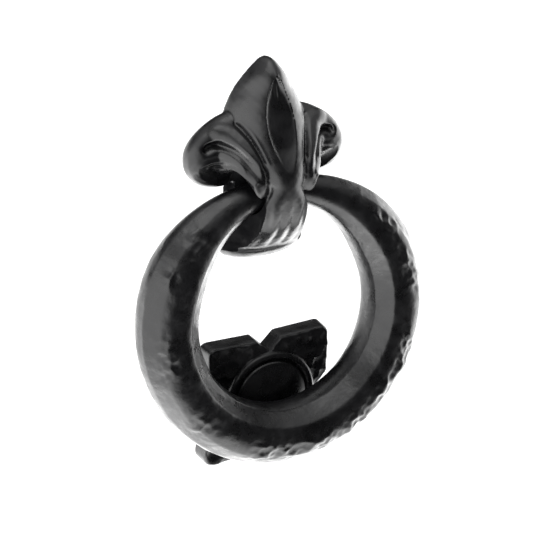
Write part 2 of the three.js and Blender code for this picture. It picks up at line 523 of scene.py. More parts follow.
FOOT_Z = HEAD_BOX[0][2]
TIP_Z = HEAD_BOX[1][2]

# Half-width at the front, half-width on the door, height off the door and z,
# from the foot of the throat to the petal's tip.
COLUMN = [
    [7.5, 11.5, 3.6, FOOT_Z], [11.6, 14.8, 6.8, -26.2], [12.6, 16.6, 9.6, -23.6],
    [12.2, 17.4, 12.8, -19.9], [11.7, 17.2, 16.2, -16.4], [11.3, 16.5, 19.4, -12.4],
    [11.1, 15.5, 21.7, -7.6], [11.1, 14.6, 22.9, -2.4], [11.4, 14, 23.7, 3],
    [12.6, 14, 23.7, 8], [13.6, 14.6, 21.8, 13.2], [14.2, 15.4, 19.4, 18.8],
    [13.4, 14.4, 17, 25.6], [11.2, 12.3, 15.2, 31.2], [8.8, 9.8, 13.4, 35.8],
    [6.3, 7, 11.7, 40], [3.9, 4.3, 8.8, 43.2], [1.9, 2.1, 6, 45.2],
    [0.4, 0.4, 3.6, TIP_Z],
]

# How many ribs run down the throat, how deep its side walls are dished beside
# the bore, where the groove above its lip runs, and how far the petal's tip
# stands off the door.
RIBS = 5
WALL_DISH = 1.3
LIP_GROOVE_Z = -22.2
TIP_LIFT = 2.8

# A side lobe's outline, as x and z of the right half, its crown, the crown's
# height off the door, and how steeply it rises from there to the waist.
LOBE_OUTLINE = [
    [12, 27.6], [16, 26.9], [20, 25.2], [24.4, 22.4], [28.2, 18.8], [30.4, 14.6], [30.6, 10],
    [28.9, 5.9], [25.4, 2.9], [20.6, 1.7], [15.5, 1.9], [10, 6], [7, 14], [8, 22],
]
LOBE_MIDDLE = (18.6, 13.6)
LOBE_HIGH = 9.4
LOBE_RISE = 0.11

# Two ridges that run from a lobe to the waist and the filling between them,
# as x, y and z down their middles, with half their breadth and half their
# thickness.
UPPER_ROLL = [
    [24.4, -2.8, 16.8], [21.6, -4.6, 19], [19, -5.7, 20.2], [16.5, -7, 20],
    [14.4, -9.2, 18.6], [12.3, -12.4, 16.3], [10.9, -15.2, 13.4], [9.9, -17.3, 10],
    [9, -18.2, 6], [8.2, -17.6, 2], [7.4, -15.5, -1.5],
]
UPPER_SIZE = [
    [3, 2.6], [4.2, 3.4], [4.9, 4], [5, 4.3], [4.8, 4.5], [4.2, 4.5],
    [3.7, 4.3], [3.4, 3.9], [3, 3.4], [2.4, 2.6], [1.6, 1.6],
]
LOWER_ROLL = [
    [25.4, -2.8, 9.6], [22.2, -4, 10], [19, -4.8, 10.2], [16.4, -6.2, 10.3], [14.2, -8.8, 10.2],
    [12.5, -12.4, 9.5], [11, -15.8, 7.6], [10, -17.6, 4.4], [9.2, -17.2, 1], [8.4, -15.5, -2],
]
LOWER_SIZE = [
    [3.4, 3], [4.8, 4], [5.2, 4.6], [5, 4.8], [4.6, 4.8],
    [4, 4.7], [3.2, 4.3], [2.6, 3.6], [2, 2.8], [1.4, 1.6],
]
FILLING = [
    [20, -4.8, 14.4], [17.6, -6.2, 14.7], [15.2, -8.6, 14.2],
    [13.2, -11.4, 12.9], [11.6, -14.2, 10.8], [10.2, -16.2, 7.4],
]
FILLING_SIZE = [[4, 3.6], [5, 4.3], [5, 4.5], [4.3, 4.5], [3.8, 4.5], [3, 3.8]]

# The crease between the petal and a lobe, the hollow between the two ridges,
# the eye of the lobe's curl and the rim of the arch below it, as x and z of
# the right half.
CREASE = [[14.2, 25.3], [12.5, 23.3], [11, 20.8], [9.9, 18], [9, 15.3], [8.3, 12.9], [7.6, 10.6]]
HOLLOW = [
    [26, 15.6], [23.4, 17.5], [20.2, 18], [17, 17.1], [14.9, 15.4],
    [13.4, 13.3], [12.3, 11.2], [11, 8.6], [10, 5],
]
CURL_EYE = (21.4, 9.2)
ARCH_RIM = [[24, 2.6], [20, 1.9], [16.5, 2], [14.2, 3.2], [12.9, 5], [12.1, 6.6], [11.5, 7.2]]

# The almond-shaped hollow down the petal: where it starts, how long it is and
# half its width.
ALMOND_FOOT, ALMOND_LONG, ALMOND_HALF = 8, 33, 5.3

# How far the ring's bore reaches each side of the middle, the gap round the
# ring there, how far the ring lifts in degrees, the gap round the lifted
# ring, and between which x the lobes make room for it.
BORE_REACH = 14.2
BORE_GAP = 0.8
FULL_SWING = 145
SWING_GAP = 1.2
SWING_ROOM = (14.0, 31.0)

# How fine the head's skin is, and how many times it is smoothed.
SKIN_VOXEL = 0.42
SKIN_PASSES = 16


def column_grid(flute_depth):
    """The petal and the throat: D-shaped superellipses stacked from foot to
    tip, with x as w cos t to the power 2/n and the height as h sin t to the
    power 2/n, flaring to the door by what is left of the height to the power
    1.3. Beside the bore each wall is dished. The ribs down the throat's front
    are the size of a cosine of x, fading out at the top and at the groove
    above the lip, which is a bell of z. The petal's tip is lifted off the
    door by a smoothstep of z."""
    s = np.linspace(0, 1, 260)
    t = ring_of_angles(360)
    front, back, high, z = (through(COLUMN, s)[:, k][:, None] for k in range(4))
    power = 2 / (2.15 + 1.7 * smoothstep((4 - z) / 10) * smoothstep((z + 28) / 13))
    share = np.clip(signed_power(np.sin(t), power), 0, 1)
    side = signed_power(np.cos(t), power)
    flare = np.sign(side) * np.minimum(np.abs(side), 1) * (back - front)
    x = side * np.abs(front) * 1.035 + flare * (1 - share) ** 1.3

    hollow = smoothstep((6 - z) / 4) * smoothstep((z + 22.5) / 3.5)
    between = smoothstep((share * high - 1.6) / 1.6) * smoothstep((high - 1.9 - share * high) / 1.8)
    x = x - np.sign(x) * WALL_DISH * hollow * between

    across = np.clip(side, -1, 1)
    above_groove = z - LIP_GROOVE_Z
    ribbed = smoothstep((1 - z) / 9) * smoothstep((share - 0.3) / 0.3) * smoothstep(above_groove / 2.5)
    scallop = np.abs(np.cos(across * np.pi * RIBS / 2))
    groove = 0.9 * bell(above_groove, 1.1) * (share > 0.02)
    sunk = ribbed * flute_depth * (1 - scallop) + groove
    y = -(np.abs(high) * share - sunk * share)
    x = x * (1 - 0.4 * groove / 12)
    lift_from = 33
    y = y - TIP_LIFT * smoothstep((z - lift_from) / (TIP_Z - lift_from))
    return np.stack([x, y, np.broadcast_to(z, x.shape)], -1)


def lobe_grid(side):
    """A pillow over the lobe's outline: at angle b from its crown its reach
    is the outline's times sin b to the power 0.8, and its height above the
    edge goes with cos b to the power 0.7. Towards the waist it rises by the
    square of the way in. Its last two rings draw it in on the door."""
    outline = np.array(LOBE_OUTLINE)
    closed = np.vstack([outline, outline[:1]])
    closed = through(closed, np.linspace(0, 1, 160, endpoint=False)) - LOBE_MIDDLE
    b = np.linspace(0.03, np.pi / 2, 60)[:, None]
    reach = np.vstack([np.sin(b) ** 0.8, [[0.985], [0.93]]])
    edge = np.vstack([0 * b + 2.8, [[1.4], [0.0]]])
    dome = np.vstack([np.clip(np.cos(b), 0, 1) ** 0.7, [[0.0], [0.0]]])
    x = LOBE_MIDDLE[0] + reach * closed[None, :, 0]
    z = LOBE_MIDDLE[1] + reach * closed[None, :, 1]
    rise = LOBE_RISE * np.clip(20.5 - x, 0, None) ** 2 * smoothstep((26 - z) / 12)
    y = -(edge + (LOBE_HIGH + rise - edge) * dome)
    return np.stack([side * x, y, z], -1)


def roll_grid(middle, size, side):
    """A flattened tube along a path, with its section square to the path:
    breadth cos a across the path and thickness sin a away from the door. Its
    ends are rounded by the root of 1 minus (2s - 1) to the eighth power, and
    it is cut off flat just in front of the door."""
    s = (1 - np.cos(np.linspace(0.05, np.pi - 0.05, 90))) / 2
    rounded = np.sqrt(1 - (2 * s - 1) ** 8)[:, None]
    path, size = through(middle, s), through(size, s) * rounded
    along = np.gradient(path, axis=0)
    along /= np.linalg.norm(along, axis=1)[:, None]
    out = np.array([0.45, -0.9, 0.0])
    out = out - along * (along @ out)[:, None]
    out /= np.linalg.norm(out, axis=1)[:, None]
    across = np.cross(along, out)
    a = ring_of_angles(72)[None, :, None]
    breadth = across[:, None] * size[:, None, :1] * np.cos(a)
    thickness = out[:, None] * size[:, None, 1:] * np.sin(a)
    grid = path[:, None] + breadth + thickness
    grid[..., 0] *= side
    grid[..., 1] = np.minimum(grid[..., 1], -0.2)
    return grid


def painted_shade_faces(mesh):
    """Which faces get the dull, barely shiny enamel that paints the shade falling in the bore: the bore
    and the walls beside it, where a face looks sideways or sits inside, below the lobes."""
    count = len(mesh.polygons)
    centres, normals = np.empty(count * 3), np.empty(count * 3)
    mesh.polygons.foreach_get("center", centres)
    mesh.polygons.foreach_get("normal", normals)
    x, y, z = (centres / MM).reshape(-1, 3).T
    across = np.abs(normals.reshape(-1, 3)[:, 0])
    below_lobes = (z < 2) & (z > FOOT_Z + 4.5)
    sideways = (across > 0.62) & below_lobes & (y > -20.6) & (np.abs(x) > 8)
    inside = (np.hypot(y - PIVOT_Y, z) < 9.2) & (np.abs(x) < BORE_REACH) & (y > -19.6)
    return sideways | inside


def bore_grid(sizes):
    """The room the ring turns in: a spool about the pivot, whose radius at x
    is the ring's sag there plus its tube radius plus the gap. It runs on at
    one radius past the walls of the throat."""
    radius = sizes.radius / MM
    past = BORE_REACH + 6
    x = np.linspace(-past, past, 60)
    inside = np.clip(np.abs(x), 0, BORE_REACH)
    sag = radius - np.sqrt(radius**2 - inside**2)
    r = sag + tube_radius(sizes, np.arcsin(inside / radius)) + BORE_GAP
    a = ring_of_angles(72)
    y = PIVOT_Y + r[:, None] * np.cos(a)
    z = r[:, None] * np.sin(a)
    return np.stack([np.broadcast_to(x[:, None], y.shape), y, z], -1)


def swing_room_grid(sizes, side):
    """The room the ring needs beside the bore when it is lifted right up: at
    each x a disc of the tube's radius plus a gap, at the ring's sag from the
    pivot, drawn out along the way the ring came."""
    radius = sizes.radius / MM
    x = np.linspace(*SWING_ROOM, 40)[:, None]
    sag = radius - np.sqrt(radius**2 - x**2)
    r = tube_radius(sizes, np.arcsin(x / radius)) + SWING_GAP
    lifted = sizes.lean + np.radians(FULL_SWING)
    a = ring_of_angles(64)[None, :]
    back = 12 * smoothstep((x - SWING_ROOM[0]) / 2.5) * (np.cos(a) > 0)
    way_y, way_z = np.cos(lifted), -np.sin(lifted)
    y = PIVOT_Y - sag * np.sin(lifted) + way_y * (r * np.cos(a) + back) + way_z * r * np.sin(a)
    z = -sag * np.cos(lifted) + way_z * (r * np.cos(a) + back) - way_y * r * np.sin(a)
    return np.stack([side * x + 0 * y, y, z], -1)


def stud_hole_grid():
    """A plain round hole in the back of the head: a cylinder from 8 mm deep
    to 3 mm behind the back."""
    a = ring_of_angles(40)
    y = np.array([-8.0, 3.0])[:, None] + 0 * a
    stud_z = (STUD_BOX[0][2] + STUD_BOX[1][2]) / 2
    return np.stack([HOLE * np.cos(a) + 0 * y, y, stud_z + HOLE * np.sin(a) + 0 * y], -1)


def carve_head(mesh, sizes):
    """Sinks the front of the head by the depth of its grooves: the petal's
    almond hollow, 1 minus (x over the half-width) squared, to the power 0.75;
    the creases and hollows, bells of the distance to their paths; and the
    rings round each curl's eye, a cosine of the distance to it that dies away
    as a bell. A raised bead follows each arch and a sharp ridge stands near
    the tip. Slow random waves then move the whole skin along its normals."""
    points, normals = points_of(mesh), normals_of(mesh)
    x, z = np.abs(points[:, 0]), points[:, 2]
    front = smoothstep((-normals[:, 1] - 0.05) / 0.35)

    up = z - ALMOND_FOOT
    half = ALMOND_HALF * np.sin(np.pi * np.clip(up / ALMOND_LONG, 0, 1)) ** 0.8 + 0.01
    bowl = np.clip(1 - (x / half) ** 2, 0, 1)
    almond = sizes.petal_groove / MM * bowl**0.75 * smoothstep(up / 9)
    ridge = -0.6 * bell(x, 0.7) * smoothstep((z - 31) / 4) * smoothstep((44 - z) / 4)

    crease, along = distance_to_path(x, z, through(CREASE, np.linspace(0, 1, 120)))
    fade = smoothstep(along / 0.1) * smoothstep((1 - along) / 0.2)
    creased = fade * (0.9 * bell(crease, 0.65) - 0.28 * bell(crease - 1.5, 0.6))

    hollow, along = distance_to_path(x, z, through(HOLLOW, np.linspace(0, 1, 160)))
    fade = smoothstep(along / 0.1) * smoothstep((1 - along) / 0.35)
    hollowed = sizes.curl_depth / MM * fade * bell(hollow, 1.25)

    eye = np.hypot((x - CURL_EYE[0]) / 1.8, z - CURL_EYE[1])
    facing = smoothstep((-normals[:, 1] - 0.4) / 0.35)
    ringed = 0.42 * facing * np.cos(2 * np.pi * eye / 2.3) * bell(eye, 3.6)

    rim, along = distance_to_path(x, z, through(ARCH_RIM, np.linspace(0, 1, 120)))
    beaded = -0.4 * facing * smoothstep(along / 0.3) * bell(rim, 0.7)

    wavy = 0.06 * waviness(points, size=9.0, seed=3) + 0.025 * waviness(points, size=3.2, seed=5)
    points[:, 1] += front * (almond + ridge + creased + hollowed + ringed + beaded)
    points += normals * (wavy * smoothstep((-points[:, 1] - 0.5) / 2))[:, None]
    points[:, 1] = np.minimum(points[:, 1], 0.0)
    set_points(mesh, points)


# ---- Strike plate -----------------------------------------------------------

PLATE_Z = (PLATE_BOX[0][2] + PLATE_BOX[1][2]) / 2

# Half the plate's width at its top and foot, half its height, half the width
# of a notch, a notch's depth, and the rounding of the top corners and of the
# notches' lips.
PLATE_TOP_W, PLATE_FOOT_W = 25.2, 28.6
PLATE_H = (PLATE_BOX[1][2] - PLATE_BOX[0][2]) / 2
NOTCH_W, NOTCH_DEEP = 4.9, 5.2
CORNER, LIP = 3.6, 0.6

# Hammer blows on the plate: their spacing, how far each may stray as a share
# of it, and the size of the bowl that each leaves.
PLATE_BLOWS, PLATE_STRAY, PLATE_BOWL = 4.9, 0.4, 5.4


def plate_outline(count):
    """The plate's outline radius at evenly spaced angles from +X: straight
    edges from notch to corner, with the corners rounded by quadratic curves.
    Each corner is its x, its z and its rounding."""
    side = PLATE_TOP_W - NOTCH_DEEP
    waist = (PLATE_TOP_W + PLATE_FOOT_W) / 2 - 2.4
    right = [
        (0, PLATE_H - NOTCH_DEEP, 0),
        (NOTCH_W, PLATE_H - LIP, LIP),
        (PLATE_TOP_W, PLATE_H, CORNER),
        (waist, NOTCH_W, LIP),
        (side, 0, 0),
        (waist, -NOTCH_W, LIP),
        (PLATE_FOOT_W, -PLATE_H, CORNER * 1.7),
        (NOTCH_W, -PLATE_H + LIP, LIP),
        (0, -PLATE_H + NOTCH_DEEP, 0),
    ]
    corners = right + [(-x, z, r) for x, z, r in right[-2:0:-1]]
    befores, afters = corners[-1:] + corners[:-1], corners[1:] + corners[:1]
    t = np.linspace(0, 1, 12)[:, None]
    run = []
    for before, here, after in zip(befores, corners, afters):
        p, a, b = (np.array(c[:2], float) for c in (here, before, after))
        start = p + (a - p) / np.linalg.norm(a - p) * here[2]
        end = p + (b - p) / np.linalg.norm(b - p) * here[2]
        run.append((1 - t) ** 2 * start + 2 * t * (1 - t) * p + t**2 * end)
    run = np.vstack(run)
    far = np.roll(run, -1, axis=0)
    steps = np.linspace(0, 1, 12, endpoint=False)[None, :, None]
    dense = (run[:, None] * (1 - steps) + far[:, None] * steps).reshape(-1, 2)
    angle = np.arctan2(dense[:, 1], dense[:, 0])
    order = np.argsort(angle)
    reach = np.hypot(*dense[order].T)
    return np.interp(ring_of_angles(count), angle[order] % (2 * np.pi), reach, period=2 * np.pi)


def plate_grid(sizes, hammered):
    """Rings about the bolt, from the hole's wall across the face, round the
    edge and back across the back. On the face the radius runs straight to the
    moulding, then in step with the outline. The edge is a quarter round. The
    moulding stands up by 1 minus (the distance to its crest) squared, to the
    power 0.6, inside a groove that is a bell. Hammer blows sink the face
    outside it and slow random waves draw in the sides."""
    thick = sizes.thickness / MM
    crest = sizes.moulding_radius / MM
    columns = 600
    a = ring_of_angles(columns)[None, :]
    outline = plate_outline(columns)[None, :]
    edge, hole, foot = 1.1, 4.0, crest + 1.5
    wall_rows = np.linspace(0, 1, 6)[1:, None]

    inner = np.linspace(hole, foot, 46)[:, None] + 0 * a
    share = np.linspace(0, 1, 44)[1:, None]
    outer = foot + (np.maximum(outline - edge, foot + 0.05) - foot) * share
    quarter = np.linspace(0, np.pi / 2, 9)[1:, None]
    turn = outline - edge * (1 - np.sin(quarter))
    wall = outline + 0 * wall_rows
    under = hole + (outline - hole) * np.linspace(1, 0, 24)[1:, None]

    r = np.vstack([inner, outer, turn, wall, under])
    y = np.vstack(
        [
            -thick + 0 * inner,
            -thick + 0 * outer,
            -thick + edge * (1 - np.cos(quarter)) + 0 * a,
            -thick + edge + (thick - edge) * wall_rows + 0 * a,
            0 * under,
        ]
    )
    grid = np.stack([r * np.cos(a), y, r * np.sin(a)], -1)

    faced = smoothstep((-y - thick * 0.55) / (thick * 0.4))
    arch = np.clip(1 - ((r - crest) / 1.7) ** 2, 0, 1)
    raised = 1.5 * arch**0.6 - 0.35 * bell(r - crest + 2.1, 0.7)
    lift = faced * raised
    if hammered:
        rng = np.random.default_rng(11)
        seed_x, seed_z = np.meshgrid(np.arange(-6, 7), np.arange(-6, 7), indexing="ij")
        seed_x = (seed_x + rng.uniform(-PLATE_STRAY, PLATE_STRAY, seed_x.shape)) * PLATE_BLOWS
        seed_z = (seed_z + rng.uniform(-PLATE_STRAY, PLATE_STRAY, seed_z.shape)) * PLATE_BLOWS
        seeds = np.stack([seed_x, 0 * seed_x, seed_z], -1).reshape(-1, 3)
        flat = grid.reshape(-1, 3) * [1, 0, 1]
        bowls = dents(flat, seeds, PLATE_BOWL).reshape(r.shape)
        away = smoothstep((r - crest - 1.2) / 2)
        lift = lift + faced * away * sizes.dent_depth / MM * (bowls - 1)
        ripple = waviness(grid.reshape(-1, 3), size=7.0, seed=21).reshape(r.shape)
        side = smoothstep((-y - 0.3) / 2) * away
        grid = grid * (1 - 0.006 * side * (ripple + 1))[..., None] * [1, 0, 1] + grid * [0, 1, 0]
    grid[..., 1] -= lift
    grid[..., 2] += PLATE_Z
    return grid


# ---- Turned pieces ----------------------------------------------------------


def turned_grid(profile, x, z, columns=96):
    """A profile of radius and y turned about the axis through x and z along
    +Y. Each profile row is one ring."""
    profile = np.asarray(profile, float)
    a = ring_of_angles(columns)[None, :]
    r = profile[:, :1]
    return np.stack([x + r * np.cos(a), profile[:, 1:] + 0 * a, z + r * np.sin(a)], -1)


def round_profile(corners, radius, steps=5):
    """The corners of a profile, each rounded by a quadratic curve that starts
    and ends radius away from it."""
    t = np.linspace(0, 1, steps)[:, None]
    corners = np.asarray(corners, float)
    run = [corners[:1]]
    for a, p, b in zip(corners[:-2], corners[1:-1], corners[2:]):
        reach = min(radius, np.linalg.norm(a - p) * 0.45, np.linalg.norm(b - p) * 0.45)
        start = p + (a - p) / np.linalg.norm(a - p) * reach
        end = p + (b - p) / np.linalg.norm(b - p) * reach
        run.append((1 - t) ** 2 * start + 2 * t * (1 - t) * p + t**2 * end)
    return np.vstack(run + [corners[-1:]])


def threaded_grid(start, plain, end, sizes, z, columns=48):
    """A screw: at turn a and height y its radius is the screw's less a
    clipped triangle wave of y over the pitch plus a over a full turn, faded
    in at the plain shank and out at the tip. Both ends are chamfered."""
    pitch, depth = sizes.pitch / MM, sizes.thread_depth / MM
    y = np.arange(start, end + 1e-6, pitch / 10)[:, None]
    a = ring_of_angles(columns)[None, :]
    wave = np.abs(((y / pitch + a / (2 * np.pi)) % 1) * 2 - 1)
    fade = smoothstep((y - plain) / pitch) * smoothstep((end - y) / (0.6 * pitch))
    r = SCREW - depth * (1 - np.clip(wave * 1.25 - 0.1, 0, 1)) * fade
    chamfer = np.clip(0.7 - (end - y), 0, 0.7) + np.clip(0.5 - (y - start), 0, 0.5)
    r = r - chamfer
    return np.stack([r * np.cos(a), y + 0 * r, z + r * np.sin(a)], -1)


def button_grid(plate, fixings):
    """The domed button and its shank on one axis. The dome is a cap of a
    ball: at angle a its radius is the ball's times sin a, and it stands back
    from the crown by the ball's radius times 1 minus cos a. A rounded rim, a
    flat back, a plain neck and the thread follow."""
    low, high = BOLT_BOX
    z = (low[2] + high[2]) / 2
    radius = (high[0] - low[0]) / 2
    crown, seat = low[1], -plate.thickness / MM - 0.3
    rise = seat - crown - 0.8
    ball = (radius**2 + rise**2) / (2 * rise)
    a = np.linspace(0.004, 1, 40) * np.arcsin((radius - 0.5) / ball)
    dome = np.stack([np.sin(a) * ball, crown + ball * (1 - np.cos(a))], 1)
    neck, thread_from = seat + 2, 8.0
    corners = [dome[-1], (radius, seat - 0.55), (radius, seat), (SCREW, seat), (SCREW, neck)]
    head = turned_grid(np.vstack([dome, round_profile(corners, 0.5)]), 0, z)
    screw = threaded_grid(neck, thread_from, high[1], fixings, z, columns=96)[1:]
    return np.concatenate([head, screw])


def nut_grid(low, high, z):
    """A hexagon nut: the radius is the hexagon's at each turn, cut by a cone
    at each end, about a plain hole."""
    a = ring_of_angles(180)[None, :]
    flat = 5.0
    hexagon = flat / np.cos((a + np.pi / 6) % (np.pi / 3) - np.pi / 6)
    ends, sides = 6, 34
    grows = np.linspace(0, 1, ends + 1)[:-1]
    y = np.concatenate([np.full(ends, low), np.linspace(low, high, sides), np.full(ends, high)])[:, None]
    share = np.concatenate([grows, np.ones(sides), np.linspace(1, 0, ends + 1)[1:]])[:, None]
    cone = flat * 0.96 + np.minimum(y - low, high - y) * 1.9
    outer = np.minimum(hexagon, cone)
    r = HOLE + (outer - HOLE) * share
    return np.stack([r * np.cos(a), y + 0 * r, z + r * np.sin(a)], -1)


def washer_profile(node):
    """A washer's section as radius and y, from the middle of its hole's wall
    round to the same place, with its four corners rounded."""
    low, high = (np.array(c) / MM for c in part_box(node))
    outer = (high[0] - low[0]) / 2
    front, back = low[1], high[1]
    start = (HOLE, (front + back) / 2)
    corners = [start, (HOLE, front), (outer, front), (outer, back), (HOLE, back), start]
    return round_profile(corners, 0.25)


# ---- Materials --------------------------------------------------------------


def enamel_material(name, colour, roughness, speck_depth, shine=0.5):
    """Black enamel over cast iron: a nearly black satin coat, duller in
    patches, over small soft specks and fine casting grain as bump."""
    material = bpy.data.materials.new(name)
    material.use_nodes = True
    tree = material.node_tree
    tree.nodes.clear()

    place = tree.nodes.new("ShaderNodeTexCoord")
    place.label, place.location = "Place on the casting", (-1500, 0)
    patches = tree.nodes.new("ShaderNodeTexNoise")
    patches.label, patches.location = "Patches of duller enamel", (-1200, 300)
    gloss = tree.nodes.new("ShaderNodeMapRange")
    gloss.label, gloss.location = "Gloss from the patches", (-900, 300)
    tint = tree.nodes.new("ShaderNodeMapRange")
    tint.label, tint.location = "Paler where it is duller", (-900, 550)
    shade = tree.nodes.new("ShaderNodeVectorMath")
    shade.label, shade.location = "Enamel colour in patches", (-600, 550)
    specks = tree.nodes.new("ShaderNodeTexNoise")
    specks.label, specks.location = "Soft specks", (-1200, -100)
    grain = tree.nodes.new("ShaderNodeTexNoise")
    grain.label, grain.location = "Casting grain", (-1200, -400)
    speck_bump = tree.nodes.new("ShaderNodeBump")
    speck_bump.label, speck_bump.location = "Specks stand out", (-900, -100)
    grain_bump = tree.nodes.new("ShaderNodeBump")
    grain_bump.label, grain_bump.location = "Grain stands out", (-600, -250)
    shader = tree.nodes.new("ShaderNodeBsdfPrincipled")
    shader.label, shader.location = "Enamel", (-250, 150)
    output = tree.nodes.new("ShaderNodeOutputMaterial")
    output.label, output.location = "Surface", (100, 150)

    uneven = tree.nodes.new("NodeFrame")
    uneven.label, uneven.location = "Uneven enamel", (-1230, 600)
    for node in (patches, gloss, tint, shade):
        node.parent = uneven
    texture = tree.nodes.new("NodeFrame")
    texture.label, texture.location = "Cast texture", (-1230, -50)
    for node in (specks, grain, speck_bump, grain_bump):
        node.parent = texture

    patches.inputs["Scale"].default_value = 160.0
    patches.inputs["Detail"].default_value = 6.0
    patches.inputs["Roughness"].default_value = 0.65
    gloss.inputs["From Min"].default_value = 0.3
    gloss.inputs["From Max"].default_value = 0.7
    gloss.inputs["To Min"].default_value = roughness * 0.7
    gloss.inputs["To Max"].default_value = roughness * 1.4
    tint.inputs["From Min"].default_value = 0.35
    tint.inputs["From Max"].default_value = 0.75
    tint.inputs["To Min"].default_value = 0.7
    tint.inputs["To Max"].default_value = 2.2
    shade.operation = "SCALE"
    shade.inputs[0].default_value = colour
    specks.inputs["Scale"].default_value = 420.0
    specks.inputs["Detail"].default_value = 2.0
    grain.inputs["Scale"].default_value = 1500.0
    grain.inputs["Detail"].default_value = 4.0
    speck_bump.inputs["Strength"].default_value = 1.0
    speck_bump.inputs["Distance"].default_value = speck_depth
    grain_bump.inputs["Strength"].default_value = 0.5
    grain_bump.inputs["Distance"].default_value = 0.00003
    shader.inputs["Metallic"].default_value = 0.0
    shader.inputs["IOR"].default_value = 1.52
    shader.inputs["Specular IOR Level"].default_value = shine

    tree.links.new(place.outputs["Object"], patches.inputs["Vector"])
    tree.links.new(place.outputs["Object"], specks.inputs["Vector"])
    tree.links.new(place.outputs["Object"], grain.inputs["Vector"])
    tree.links.new(patches.outputs["Fac"], gloss.inputs["Value"])
    tree.links.new(patches.outputs["Fac"], tint.inputs["Value"])
    tree.links.new(tint.outputs["Result"], shade.inputs["Scale"])
    tree.links.new(shade.outputs["Vector"], shader.inputs["Base Color"])
    tree.links.new(gloss.outputs["Result"], shader.inputs["Roughness"])
    tree.links.new(specks.outputs["Fac"], speck_bump.inputs["Height"])
    tree.links.new(grain.outputs["Fac"], grain_bump.inputs["Height"])
    tree.links.new(speck_bump.outputs["Normal"], grain_bump.inputs["Normal"])
    tree.links.new(grain_bump.outputs["Normal"], shader.inputs["Normal"])
    tree.links.new(shader.outputs["BSDF"], output.inputs["Surface"])
    return material


def zinc_material(name, colour):
    """Bright zinc plate: a light metal whose blur changes in soft clouds."""
    material = bpy.data.materials.new(name)
    material.use_nodes = True
    tree = material.node_tree
    tree.nodes.clear()

    place = tree.nodes.new("ShaderNodeTexCoord")
    place.label, place.location = "Place on the fixing", (-1200, 0)
    cloud = tree.nodes.new("ShaderNodeTexNoise")
    cloud.label, cloud.location = "Cloudy plating", (-900, 100)
    blur = tree.nodes.new("ShaderNodeMapRange")
    blur.label, blur.location = "Blur from the clouds", (-600, 100)
    shader = tree.nodes.new("ShaderNodeBsdfPrincipled")
    shader.label, shader.location = "Zinc", (-300, 100)
    output = tree.nodes.new("ShaderNodeOutputMaterial")
    output.label, output.location = "Surface", (50, 100)

    plating = tree.nodes.new("NodeFrame")
    plating.label, plating.location = "Plating", (-930, 150)
    for node in (cloud, blur):
        node.parent = plating

    cloud.inputs["Scale"].default_value = 400.0
    cloud.inputs["Detail"].default_value = 3.0
    blur.inputs["To Min"].default_value = 0.24
    blur.inputs["To Max"].default_value = 0.42
    shader.inputs["Base Color"].default_value = (*colour, 1.0)
    shader.inputs["Metallic"].default_value = 1.0

    tree.links.new(place.outputs["Object"], cloud.inputs["Vector"])
    tree.links.new(cloud.outputs["Fac"], blur.inputs["Value"])
    tree.links.new(blur.outputs["Result"], shader.inputs["Roughness"])
    tree.links.new(shader.outputs["BSDF"], output.inputs["Surface"])
    return material


def paper_material(name, colour, glow):
    """A plain matt sheet, lit a little from within as on a light table."""
    material = bpy.data.materials.new(name)
    material.use_nodes = True
    tree = material.node_tree
    tree.nodes.clear()

    shader = tree.nodes.new("ShaderNodeBsdfPrincipled")
    shader.label, shader.location = "Paper", (0, 0)
    output = tree.nodes.new("ShaderNodeOutputMaterial")
    output.label, output.location = "Surface", (350, 0)

    shader.inputs["Base Color"].default_value = (*colour, 1.0)
    shader.inputs["Roughness"].default_value = 0.9
    shader.inputs["Specular IOR Level"].default_value = 0.1
    shader.inputs["Emission Color"].default_value = (1.0, 1.0, 1.0, 1.0)
    shader.inputs["Emission Strength"].default_value = glow

    tree.links.new(shader.outputs["BSDF"], output.inputs["Surface"])
    return material


# ---- Stage ------------------------------------------------------------------

# The floor's half side and how far it lies below the ring's foot.
FLOOR_HALF, FLOOR_DROP = 3.0, 0.055

# The camera stands left of the front by one angle and above it by another, at
# a distance from the point it looks at.
VIEW_LEFT, VIEW_UP = np.radians(27.62), np.radians(23.02)
VIEW_DISTANCE = 0.5733
VIEW_POINT = (0.00611, 0.0, -0.03825)
VIEW_LENS, VIEW_SENSOR = 102.44749, 36.0


